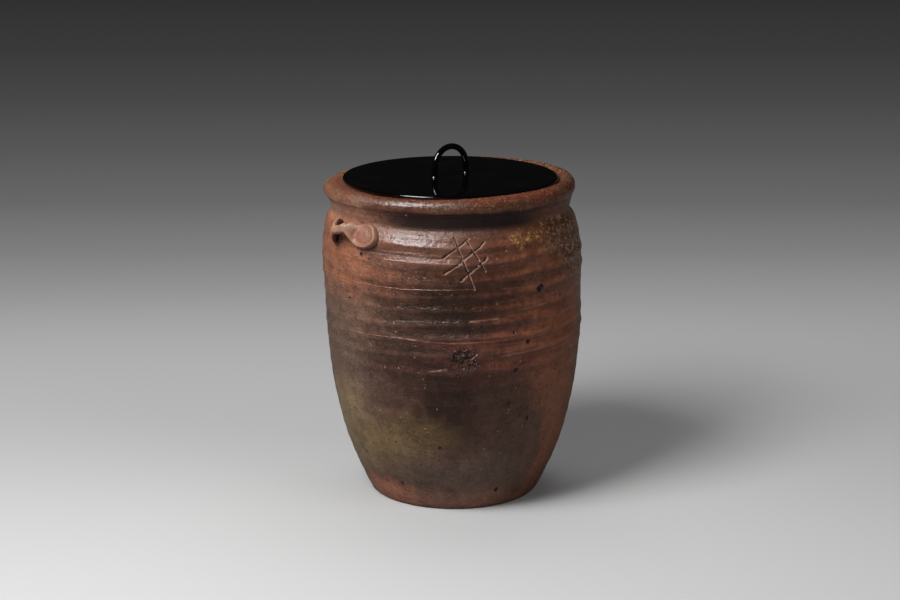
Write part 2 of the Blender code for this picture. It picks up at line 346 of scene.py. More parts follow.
def innerRelief(azimuth, height):
    # Wide rings of the fingers, one helix too, between the floor and the neck
    rings = pot["innerDepth"] * np.cos(fullTurn * height / pot["innerPitch"] - azimuth)
    rings = rings * smoothStep(0.024, 0.04, height) * (1 - smoothStep(0.165, 0.18, height))
    uneven = layered(azimuth, height, pot["innerLayers"])
    return (rings + uneven) * (1 - smoothStep(0.175, 0.184, height))


def potRows():
    # The pot's outline from the middle of the floor up the inside, over the lip and down the outside
    # to the base, and which kind of relief each of its points takes
    cornerTop = pot["floor"] + pot["corner"]
    cornerRadius = float(wallRadius(cornerTop)) - pot["thickness"] - pot["corner"]
    seatHeight = pot["height"] - pot["seatDrop"]
    mouthEdge = pot["mouthEdge"]
    lipRadius = pot["lipRadius"] - pot["lipHalfWidth"]
    lipHeight = pot["height"] - pot["lipHalfDepth"]
    firstRing, rings = pot["floorRings"]
    out = np.linspace(firstRing, cornerRadius, rings, endpoint=False)
    floor = np.column_stack((out, np.full(rings, pot["floor"])))
    corner = arc(cornerRadius, cornerTop, pot["corner"], pot["corner"], -90, 0, 6)
    up = np.linspace(cornerTop, neckHeight, 16)[1:]
    inside = np.column_stack((wallRadius(up) - pot["thickness"], up))
    throat = (pot["throat"], (pot["mouth"], seatHeight - pot["mouthDepth"]),
              (pot["mouth"], seatHeight - mouthEdge - 0.001))
    mouth = arc(pot["mouth"] + mouthEdge, seatHeight - mouthEdge, mouthEdge, mouthEdge, 180, 90, 4)
    lipEnd = 180 - math.degrees(math.asin((seatHeight - lipHeight) / pot["lipHalfDepth"]))
    lip = arc(lipRadius, lipHeight, pot["lipHalfWidth"], pot["lipHalfDepth"], lipEnd, pot["lipStart"], 30)
    flareRadius, flareTop = lip[-1]
    down = np.linspace(flareTop, neckHeight, 11)[1:-1]
    share = ((down - neckHeight) / (flareTop - neckHeight)) ** pot["flarePower"]
    flare = np.column_stack((neckRadius + (flareRadius - neckRadius) * share, down))
    heights = [neckHeight]
    for bottom, count in (*pot["rowBands"], (pot["footEdge"], pot["footRows"])):
        heights.extend(np.linspace(heights[-1], bottom, count)[1:])
    wall = np.column_stack((wallRadius(np.array(heights)), heights))
    edge = arc(footRadius - pot["footEdge"], pot["footEdge"], pot["footEdge"], pot["footEdge"], -15, -90, 4)
    base = [(radius, 0) for radius in pot["baseRings"]]
    parts = (
        ("plain", floor), ("plain", corner), ("inside", inside), ("plain", throat), ("plain", mouth),
        ("lip", lip), ("lip", flare), ("outside", wall), ("plain", edge), ("plain", base),
    )
    rows = np.vstack([part for _, part in parts])
    return rows, np.repeat([title for title, _ in parts], [len(part) for _, part in parts])


def throw(azimuth, radius, height):
    # Turns the outline about Z, tilts the lip outside the seat and leans the whole pot
    outside = smoothStep(*pot["lipTiltRadii"], radius)
    tilt = np.cos(azimuth - math.radians(pot["lipTiltAzimuth"])) * outside
    tilt = tilt * smoothStep(pot["height"] - 2 * pot["lipHalfDepth"], pot["height"], height)
    return turnedRound(radius, azimuth, height + pot["lipTilt"] * tilt, lean(height))


def makePot():
    # The outline in every column, moved along its own normal by the relief of each kind, and thrown.
    # Columns crowd towards the front by a sine. The map "ring" tells the paint where the crests are, for
    # their painted highlight and the valleys' painted shade
    rows, kind = potRows()
    tangent = tangents(rows)
    turn = np.linspace(0, fullTurn, pot["columns"], endpoint=False)
    azimuth = (turn - pot["crowding"] * np.sin(turn))[None, :]
    azimuth, radius, height = np.broadcast_arrays(azimuth, rows[:, :1], rows[:, 1:])
    kind = np.broadcast_to(kind[:, None], azimuth.shape)
    foot = smoothStep(0, pot["footFade"], height)
    neck = 1 - 0.75 * smoothStep(pot["neckFade"], neckHeight, height)
    onLip = smoothStep(*pot["lipReliefRadii"], radius)
    relief = np.select(
        (kind == "outside", kind == "lip", kind == "inside"),
        (wallRelief(azimuth, height) * foot * neck, lipRelief(azimuth, height) * onLip,
         innerRelief(azimuth, height)),
        0,
    )
    radius = radius - tangent[:, 1:] * relief
    height = np.maximum(height + tangent[:, :1] * relief, 0)
    ring = np.where(kind == "outside", ringShape(azimuth, height) * foot * neck, 0.3)
    middle = lean(0)
    return surface("jar_wall", throw(azimuth, radius, height), (middle, 0, pot["floor"]), (middle, 0, 0),
                   {"ring": ring, "wiped": 0.5 * (kind == "lip")})


# The strap ears. The last five sizes are the depths of the relief on their pads

ear = {
    "azimuths": {"ear_front": -49, "ear_back": 131},
    "height": 0.1774,
    "length": 0.044,
    "leftPad": 0.0125,
    "rightPad": 0.0215,
    "padHeight": 0.0138,
    "padThickness": 0.0042,
    "barHeight": 0.0042,
    "barThickness": 0.0054,
    "barLift": 0.0038,
    "barRaise": 0.0012,
    "barFall": (0.0015, 0.005),
    "leftDrop": 0.0016,
    "sink": 0.0003,
    "stations": 140,
    "sides": 72,
    "squareness": 0.8,
    "slopeStep": 0.0001,
    "dish": 0.0011,
    "rim": 0.0014,
    "tongue": 0.0012,
    "fold": 0.0007,
    "tuck": 0.0005,
}


def rightPadMarks(a, b):
    # Shares of relief on the right pad, at shares of its half length and half height: a dish that a
    # thumb pressed, the rim round it, and the bar's end that runs in as a slanting tongue
    ring = np.hypot(a, b)
    onRight = smoothStep(-1.0, -0.6, a)
    dish = (1 - smoothStep(0.55, 0.78, ring)) * onRight
    rim = bell(ring - 0.86, 0.1) * onRight * smoothStep(-0.75, 0.1, 0.9 * a - 0.45 * b)
    onward = 0.82 * (a + 1.2) + 0.57 * (b - 0.1)
    aside = 0.82 * (b - 0.1) - 0.57 * (a + 1.2)
    tongue = bell(aside, 0.2) * smoothStep(-0.3, 0.1, onward) * (1 - smoothStep(0.5, 1.15, onward))
    return dish, rim, tongue


def leftPadMarks(c, b):
    # Shares of relief on the left pad: two folds that cross in its upper half, and a tuck below
    onLeft = 1 - smoothStep(0.75, 1.05, c)
    folds = bell(b - 0.25 + 0.7 * c, 0.15) + bell(c - 0.15 * b + 0.05, 0.16)
    folds = folds * smoothStep(-0.1, 0.4, b) * onLeft
    tuck = bell(np.hypot(c - 0.6, b + 0.7), 0.45) * onLeft
    return folds, tuck


def makeEar(name, node):
    # A loft of unlike sections, from a flat pad through a round bar to the other pad, laid on the
    # wall: each section is a rounded oval that stands off the wall along the wall's own normal
    half = ear["length"] / 2
    leftHalf = ear["leftPad"] / 2
    rightHalf = ear["rightPad"] / 2
    padHalf = ear["padHeight"] / 2
    leftMiddle = -half + leftHalf
    rightMiddle = half - rightHalf
    barStart = leftMiddle + leftHalf
    barEnd = rightMiddle - rightHalf
    fallStart, fallEnd = ear["barFall"]
    along = half * np.sin(np.radians(np.linspace(-88.5, 88.5, ear["stations"])))[:, None]
    left = np.sqrt(np.clip(1 - ((along - leftMiddle) / leftHalf) ** 2, 0, 1))
    right = np.sqrt(np.clip(1 - ((along - rightMiddle) / rightHalf) ** 2, 0, 1))
    pad = np.maximum(left, right)
    lift = smoothStep(leftMiddle, barStart, along)
    lift = lift * (1 - smoothStep(barEnd - fallStart, rightMiddle - fallEnd, along))
    tall = ((pad * padHalf) ** 4 + (lift * ear["barHeight"] / 2) ** 4) ** 0.25
    thickness = ear["padThickness"] * np.sqrt(pad) * (1 - lift) + ear["barThickness"] * lift
    drop = ear["leftDrop"] * (1 - smoothStep(barStart, barEnd, along))
    middle = ear["height"] + ear["barRaise"] * lift - drop

    flat = 0.18 + 0.32 * lift
    turn = np.linspace(fullTurn, 0, ear["sides"], endpoint=False)[None, :]
    waves = (np.cos(turn), np.sin(turn))
    across, off = (np.sign(wave) * np.abs(wave) ** ear["squareness"] for wave in waves)
    reach = np.where(off > 0, thickness * (1 - flat), thickness * flat)
    distance = ear["barLift"] * lift - ear["sink"] + thickness * flat + reach * off
    height = middle + tall * across

    # Relief on the outer side only, and a map for the paint: high parts and folds above 0, for pale ash and a
    # painted highlight on the bar's upper side and the rim; tucks and the underside below 0, for painted
    # shade
    outer = np.clip(off, 0, 1) ** 0.5
    up = (height - middle) / padHalf
    dish, rim, tongue = rightPadMarks((along - rightMiddle) / rightHalf, up)
    folds, tuck = leftPadMarks((along - leftMiddle) / leftHalf, up)
    relief = ear["rim"] * rim + ear["tongue"] * tongue - ear["dish"] * dish
    distance = distance + outer * (relief + ear["fold"] * folds - ear["tuck"] * tuck)
    high = smoothStep(-0.2, 0.7, np.sin(turn + 0.5)) * lift + rim + 0.6 * tongue + 0.5 * folds
    under = 1 - smoothStep(-0.3, 0.35, off)
    rubbed = outer * high - tuck - 1.6 * under

    step = ear["slopeStep"]
    rise = (wallRadius(height + step) - wallRadius(height - step)) / (2 * step)
    length = np.sqrt(1 + rise * rise)
    outward = wallRadius(height) + distance / length
    upward = height - distance * rise / length
    angle = math.radians(ear["azimuths"][node]) + along / float(wallRadius(ear["height"]))
    points = turnedRound(outward, angle, upward, lean(upward))
    return surface(name, points, points[0].mean(axis=0), points[-1].mean(axis=0),
                   {"wiped": np.ones(1), "rubbed": rubbed})


# The lid and its loop

lid = {
    "middle": (-0.0012, 0.0, 0.2013),
    "radius": 0.068,
    "thickness": 0.0028,
    "crown": 0.00025,
    "stepRadius": 0.0608,
    "stepDepth": 0.003,
    "stepEdge": 0.0006,
    "cornerCut": 0.0004,
    "columns": 360,
    "topRings": (0.003, 25),
    "stepRings": (0.045, 0.02),
}
loop = {
    "azimuth": 40,
    "span": 0.0257,
    "leg": 0.0053,
    "thickness": 0.0038,
    "sunk": 0.0012,
    "fillet": 0.0007,
    "filletFall": 0.0005,
    "legRows": 21,
    "archRows": 90,
    "sides": 40,
}


def makeBoard():
    # The board's outline turned about the lid's middle: a top that falls a hair towards its round
    # edge, a flat underside and the step below it
    edge = lid["thickness"] / 2
    inner = lid["radius"] - edge
    stepRadius, stepEdge, stepDepth = lid["stepRadius"], lid["stepEdge"], lid["stepDepth"]
    firstRing, rings = lid["topRings"]
    out = np.linspace(firstRing, inner, rings, endpoint=False)
    top = np.column_stack((out, lid["thickness"] - lid["crown"] * (out / inner) ** 6))
    rounding = arc(inner, edge, edge, edge, 90, -90, 15)
    rounding[:, 1] = rounding[:, 1] - lid["crown"] * smoothStep(edge, 2 * edge, rounding[:, 1])
    under = ((inner - 0.001, 0), (stepRadius + lid["cornerCut"], 0), (stepRadius, -lid["cornerCut"]))
    step = arc(stepRadius - stepEdge, stepEdge - stepDepth, stepEdge, stepEdge, 0, -90, 5)
    below = [(radius, -stepDepth) for radius in lid["stepRings"]]
    rows = np.vstack((top, rounding, under, step, below))
    turn = np.linspace(0, fullTurn, lid["columns"], endpoint=False)[None, :]
    middle = np.array(lid["middle"])
    points = turnedRound(rows[:, :1], turn, rows[:, 1:]) + middle
    return surface("lid_lacquer", points, middle + (0, 0, lid["thickness"]), middle - (0, 0, stepDepth))


def makeLoop():
    # A round bar along an arch with straight legs, which swells to a fillet where it meets the board
    # and is a hair uneven, as bent by hand
    radius = loop["span"] / 2
    leg = np.linspace(-loop["sunk"], loop["leg"], loop["legRows"], endpoint=False)
    turn = np.linspace(0, math.pi, loop["archRows"])
    beside = np.full(loop["legRows"], radius)
    side = np.concatenate((beside, radius * np.cos(turn), -beside))
    rise = np.concatenate((leg, loop["leg"] + radius * np.sin(turn), leg[::-1]))
    tangent = tangents(np.column_stack((side, rise)))
    thick = loop["thickness"] / 2 + loop["fillet"] * np.exp(-np.maximum(rise, 0) / loop["filletFall"])
    thick = thick * (1 + 0.012 * np.sin(3 * np.arctan2(rise, side)))
    around = np.linspace(fullTurn, 0, loop["sides"], endpoint=False)[None, :]
    outward = np.cos(around) * thick[:, None]
    across = np.sin(around) * thick[:, None]
    x = side[:, None] + outward * tangent[:, 1:]
    z = rise[:, None] - outward * tangent[:, :1]
    angle = math.radians(loop["azimuth"])
    points = np.stack((x * math.cos(angle) - across * math.sin(angle),
                       x * math.sin(angle) + across * math.cos(angle), z), axis=-1)
    points = points + np.array(lid["middle"]) + (0, 0, lid["thickness"])
    return surface("loop_lacquer", points, points[0].mean(axis=0), points[-1].mean(axis=0))


# Materials

class Wire:
    # A node's output that takes part in sums: each operator adds a Math node
    def __init__(self, paint, socket):
        self.paint = paint
        self.socket = socket

    def beside(self, name):
        # Another output of the same node
        return Wire(self.paint, self.socket.node.outputs[name])

    def __add__(self, other):
        return self.paint.maths("ADD", self, other)

    __radd__ = __add__

    def __sub__(self, other):
        return self.paint.maths("SUBTRACT", self, other)

    def __rsub__(self, other):
        return self.paint.maths("SUBTRACT", other, self)

    def __mul__(self, other):
        return self.paint.maths("MULTIPLY", self, other)

    __rmul__ = __mul__

    def __truediv__(self, other):
        return self.paint.maths("DIVIDE", self, other)

    def __rtruediv__(self, other):
        return self.paint.maths("DIVIDE", other, self)


class Paint:
    # One material's nodes
    def __init__(self, name):
        self.material = bpy.data.materials.new(name)
        self.material.use_nodes = True
        self.tree = self.material.node_tree
        self.tree.nodes.clear()

    def add(self, kind, settings, inputs, output=None):
        # A node of one type: its settings first, then its sockets' values or links
        node = self.tree.nodes.new(kind)
        for name, value in settings.items():
            if name == "stops":
                while len(node.color_ramp.elements) < len(value):
                    node.color_ramp.elements.new(1)
                for element, (place, grey) in zip(node.color_ramp.elements, value):
                    element.position = place
                    element.color = (grey, grey, grey, 1)
            else:
                setattr(node, name, value)
        sockets = {socket.identifier: socket for socket in node.inputs}
        for name, value in inputs.items():
            if isinstance(value, Wire):
                self.tree.links.new(value.socket, sockets[name])
            else:
                sockets[name].default_value = value
        outputs = {socket.identifier: socket for socket in node.outputs}
        return Wire(self, outputs[output] if output else node.outputs[0])

    def maths(self, operation, a, b=0.0):
        return self.add("ShaderNodeMath", {"operation": operation}, {"Value": a, "Value_001": b})

    def largest(self, wires):
        # Each wire is taken up before the generator makes the next, so that few values wait at once
        most = next(wires)
        for wire in wires:
            most = self.maths("MAXIMUM", most, wire)
        return most

    def vector(self, operation, a, b=(0, 0, 0), c=(0, 0, 0), output="Vector"):
        return self.add("ShaderNodeVectorMath", {"operation": operation},
                        {"Vector": a, "Vector_001": b, "Vector_002": c}, output)

    def distance(self, a, b):
        return self.vector("DISTANCE", a, b, output="Value")

    def ease(self, value, low, high, start=0.0, end=1.0):
        # Start below low, end above high, smooth between them
        return self.add("ShaderNodeMapRange", {"interpolation_type": "SMOOTHSTEP"},
                        {"Value": value, "From Min": low, "From Max": high,
                         "To Min": start, "To Max": end})

    def mix(self, share, a, b, blend="MIX"):
        return self.add("ShaderNodeMix", {"data_type": "RGBA", "blend_type": blend},
                        {"Factor_Float": share, "A_Color": a, "B_Color": b}, "Result_Color")

    def noise(self, place, scale, detail=3.0, roughness=0.5):
        return self.add("ShaderNodeTexNoise", {},
                        {"Vector": place, "Scale": scale, "Detail": detail, "Roughness": roughness}, "Fac")

    def cells(self, place, scale, feature="F1"):
        return self.add("ShaderNodeTexVoronoi", {"feature": feature},
                        {"Vector": place, "Scale": scale}, "Distance")

    def toLine(self, point, start, end):
        # Distance from a point to the line between two ends
        way = Vector(end) - Vector(start)
        fromStart = self.vector("SUBTRACT", point, start)
        share = self.vector("DOT_PRODUCT", fromStart, tuple(way / way.length_squared), output="Value")
        held = self.add("ShaderNodeClamp", {}, {"Value": share})
        along = self.add("ShaderNodeVectorMath", {"operation": "SCALE"},
                         {"Vector": tuple(way), "Scale": held})
        return self.distance(fromStart, along)

    def shader(self, constants, varying):
        # A surface shader: constants are set on its own sockets, and what varies is linked
        node = self.tree.nodes.new("ShaderNodeBsdfPrincipled")
        for name, value in constants.items():
            node.inputs[name].default_value = value
        for name, value in varying.items():
            self.tree.links.new(value.socket, node.inputs[name])
        return Wire(self, node.outputs["BSDF"])

    def finish(self, shader):
        end = self.tree.nodes.new("ShaderNodeOutputMaterial")
        self.tree.links.new(shader.socket, end.inputs["Surface"])
        return self.material


def tone(shade):
    # A screen colour, 0 to 255 each, as the linear values that a shader takes
    screen = np.array(shade) / 255
    linear = np.where(screen <= 0.04045, screen / 12.92, ((screen + 0.055) / 1.055) ** 2.4)
    return (*linear.tolist(), 1.0)


# Flame marks on the pot, laid over each other from the first to the last: azimuth, height, reach
# round the wall in degrees, reach in height, colour, strength and softness of the rim
flames = (
    (-62, 0.166, 50, 0.044, (144, 91, 66), 0.95, 0.6),
    (-50, 0.187, 34, 0.010, (154, 114, 94), 0.75, 0.6),
    (-66, 0.104, 36, 0.036, (101, 79, 66), 0.9, 0.5),
    (-36, 0.130, 20, 0.018, (104, 77, 64), 0.75, 0.5),
    (-18, 0.175, 28, 0.017, (100, 66, 53), 0.85, 0.6),
    (-22, 0.146, 16, 0.011, (64, 37, 26), 0.65, 0.6),
    (52, 0.120, 30, 0.082, (120, 70, 48), 0.95, 0.6),
    (62, 0.062, 28, 0.052, (110, 66, 45), 0.85, 0.5),
    (54, 0.158, 28, 0.020, (92, 58, 42), 0.8, 0.6),
    (3, 0.140, 27, 0.022, (49, 29, 19), 0.95, 0.7),
    (-13, 0.110, 26, 0.022, (54, 30, 19), 0.85, 0.6),
    (6, 0.080, 28, 0.027, (43, 21, 10), 0.93, 0.55),
    (26, 0.066, 14, 0.044, (70, 45, 34), 0.75, 0.6),
    (38, 0.034, 15, 0.032, (75, 52, 42), 0.85, 0.2),
    (-66, 0.050, 30, 0.033, (126, 104, 76), 0.95, 0.4),
    (-36, 0.046, 25, 0.018, (110, 88, 58), 0.92, 0.5),
    (-12, 0.056, 16, 0.010, (88, 67, 37), 0.85, 0.6),
    (0, 0.024, 42, 0.014, (90, 69, 58), 0.85, 0.6),
    (-44, 0.002, 30, 0.014, (156, 96, 70), 0.9, 0.5),
    (2, 0.003, 40, 0.011, (124, 84, 67), 0.85, 0.5),
    (-52, 0.205, 36, 0.014, (112, 68, 50), 0.9, 0.5),
    (-12, 0.205, 34, 0.014, (78, 44, 32), 0.9, 0.6),
    (48, 0.205, 44, 0.014, (80, 46, 31), 0.9, 0.5),
    (10, 0.1165, 18, 0.0035, (108, 56, 40), 0.8, 0.8),
    (20, 0.104, 26, 0.0030, (96, 47, 33), 0.7, 0.8),
    (-12, 0.103, 18, 0.0040, (72, 34, 24), 0.5, 0.8),
    (4, 0.0925, 16, 0.0030, (72, 30, 20), 0.6, 0.8),
    (84, 0.135, 14, 0.070, (88, 72, 54), 0.8, 0.5),
    (150, 0.130, 50, 0.070, (126, 76, 56), 0.9, 0.6),
    (-140, 0.090, 44, 0.075, (80, 54, 44), 0.9, 0.6),
    (120, 0.050, 34, 0.034, (112, 92, 64), 0.8, 0.6),
    (-120, 0.170, 30, 0.040, (134, 84, 62), 0.8, 0.6),
)

# Burnt-out pits and stones in the wall: azimuth, height, radius and depth
pits = (
    (40.6, 0.1462, 0.0027, 0.0012), (28.7, 0.0966, 0.0013, 0.0007), (-6.2, 0.0467, 0.0015, 0.0007),
    (-30.8, 0.0173, 0.0013, 0.0008), (-42.1, 0.0159, 0.0009, 0.0006), (-21.1, 0.0200, 0.0009, 0.0006),
    (-12.0, 0.0157, 0.0009, 0.0006), (27.0, 0.0134, 0.0020, 0.0008), (-42.7, 0.1668, 0.0011, 0.0008),
    (34.3, 0.1135, 0.0019, 0.0007), (26.9, 0.1209, 0.0010, 0.0007), (11.8, 0.1017, 0.0009, 0.0007),
    (26.5, 0.0751, 0.0015, 0.0006), (37.1, 0.0630, 0.0015, 0.0006), (-50.9, 0.1371, 0.0011, 0.0006),
    (140.0, 0.1210, 0.0018, 0.0010), (-110.0, 0.0840, 0.0015, 0.0008), (100.0, 0.0420, 0.0014, 0.0007),
)

# Scratches and drag marks: azimuth and height of both ends, width
scratches = (
    (8.0, 0.1063, 9.8, 0.1092, 0.0007), (-39.6, 0.1120, -38.2, 0.1104, 0.0004),
    (-24.2, 0.1376, -23.6, 0.1384, 0.0004), (-31.8, 0.0984, -31.2, 0.0972, 0.0005),
    (120.0, 0.1500, 127.0, 0.1460, 0.0006), (-160.0, 0.1100, -152.0, 0.1130, 0.0006),
)

# Raised hair lines that the potter's fingers left: azimuth and height of both ends, half width
hairs = (
    (-76, 0.1476, -52, 0.1486, 0.0004), (-52, 0.1486, -23, 0.1488, 0.0004), (-23, 0.1488, 10, 0.1500, 0.0004),
    (22, 0.1490, 40, 0.1482, 0.0004), (-30, 0.1660, 2, 0.1655, 0.0005),
    (-52, 0.1162, -25, 0.1176, 0.0005), (-25, 0.1176, 0, 0.1160, 0.0008), (0, 0.1160, 24, 0.1168, 0.0010),
    (24, 0.1168, 44, 0.1194, 0.0010), (22, 0.1066, 44, 0.1082, 0.0009), (8, 0.1297, 20, 0.1306, 0.0008),
    (30, 0.1345, 44, 0.1358, 0.0009), (-10, 0.0974, -2.5, 0.0990, 0.0010),
    (88, 0.1400, 150, 0.1425, 0.0006), (150, 0.1180, 178, 0.1190, 0.0006),
    (-170, 0.1560, -110, 0.1540, 0.0005),
)

# The clay's other colours, and where its stretches begin and end: a pair of heights, of places along
# X or Y or of distances from the axis, between which a stretch sets in
shades = {
    "streakDark": (66, 44, 35), "streakPale": (90, 58, 45), "crestMiddle": (122, 86, 74),
    "crestRight": (138, 78, 58), "valley": (34, 22, 18), "grooveShade": (23, 7, 4), "rust": (98, 46, 32),
    "scorch": (44, 28, 21), "seamShade": (40, 24, 18), "lipDust": (150, 132, 100), "dustyClay": (66, 48, 36),
    "yellowAsh": (160, 136, 60), "paleAsh": (166, 148, 118), "ear": (156, 102, 80),
    "earAshHighlight": (166, 148, 126), "earShade": (34, 20, 15), "burst": (44, 26, 19), "crack": (14, 9, 7),
    "knobAndGlint": (156, 118, 98), "pit": (16, 13, 11), "paleSpeck": (176, 142, 112), "hair": (176, 120, 98),
    "bank": (170, 126, 108), "cutShade": (26, 17, 13),
}
edges = {
    "upper": (0.07, 0.115), "streakLeft": (-0.062, -0.036), "sheenLeft": (-0.054, -0.038),
    "sheenLow": (0.112, 0.15), "sheenRight": (0.02, 0.06), "mattLow": (0.1798, 0.1830),
    "mattHigh": (0.190, 0.194), "crestRight": (0.0, 0.03), "grooveLow": (0.1825, 0.187),
    "grooveHigh": (0.1965, 0.1935), "grooveLeft": (-0.050, -0.024), "grooveRight": (0.036, 0.062),
    "lipLow": (0.1955, 0.1985), "seatOut": (0.0685, 0.0695), "rustOut": (0.0792, 0.0762),
    "seamShade": (0.0003, 0.0011), "seamOut": (0.0742, 0.0750), "seamLeft": (-0.05, -0.01),
    "lipDustBack": (-0.05, 0.05), "yellowLow": (0.171, 0.177), "yellowHigh": (0.184, 0.180),
    "yellowLeft": (0.034, 0.042), "yellowRight": (0.054, 0.062), "paleLeft": (0.052, 0.068),
    "paleLow": (0.12, 0.16), "paleHigh": (0.187, 0.184), "paleBack": (0.05, 0.03),
    "burst": (0.002, 0.0105), "outside": (0.0745, 0.0755),
}


def onSheet(azimuth, height):
    # A place on the wall unrolled to a flat sheet
    return math.radians(azimuth) * sheet["paint"], height, 0.0


def flameMarks(paint, colour, around, ragged, stretch):
    # Each flame mark is an oval: strong where the distance from its middle, in shares of its reach,
    # is under 1, and gone where it is over 1, by a smooth step whose place the noise shifts
    for azimuth, height, wide, tall, shade, strength, soft in flames:
        turn = math.radians(azimuth)
        reach = 2 * math.sin(math.radians(wide) / 2)
        scale = (1 / reach, 1 / reach, 1 / (stretch * tall))
        middle = (math.sin(turn), -math.cos(turn), stretch * height)
        shift = tuple(-m * s for m, s in zip(middle, scale))
        away = paint.vector("LENGTH", paint.vector("MULTIPLY_ADD", around, scale, shift), output="Value")
        inside = paint.ease(away + ragged, 1 - soft, 1 + soft, strength, 0.0)
        colour = paint.mix(inside, colour, tone(shade))
    return colour


def pitDepths(paint, place, wobble):
    # Each pit's depth at a place on the sheet, in millimetres: a flat floor with a soft rim
    for azimuth, height, radius, depth in pits:
        away = paint.distance(place, onSheet(azimuth, height))
        yield paint.ease(away + wobble, 0.4 * radius, 1.1 * radius, depth * 1000, 0.0)


def strokeMasks(paint, place, strokes, worn, low, high):
    # For each stroke on the sheet, 1 within "low" widths of its line and 0 past "high" widths
    for azimuth, height, endAzimuth, endHeight, width, *_ in strokes:
        away = paint.toLine(place, onSheet(azimuth, height), onSheet(endAzimuth, endHeight))
        yield paint.ease(away + worn, low * width, high * width, 1.0, 0.0)


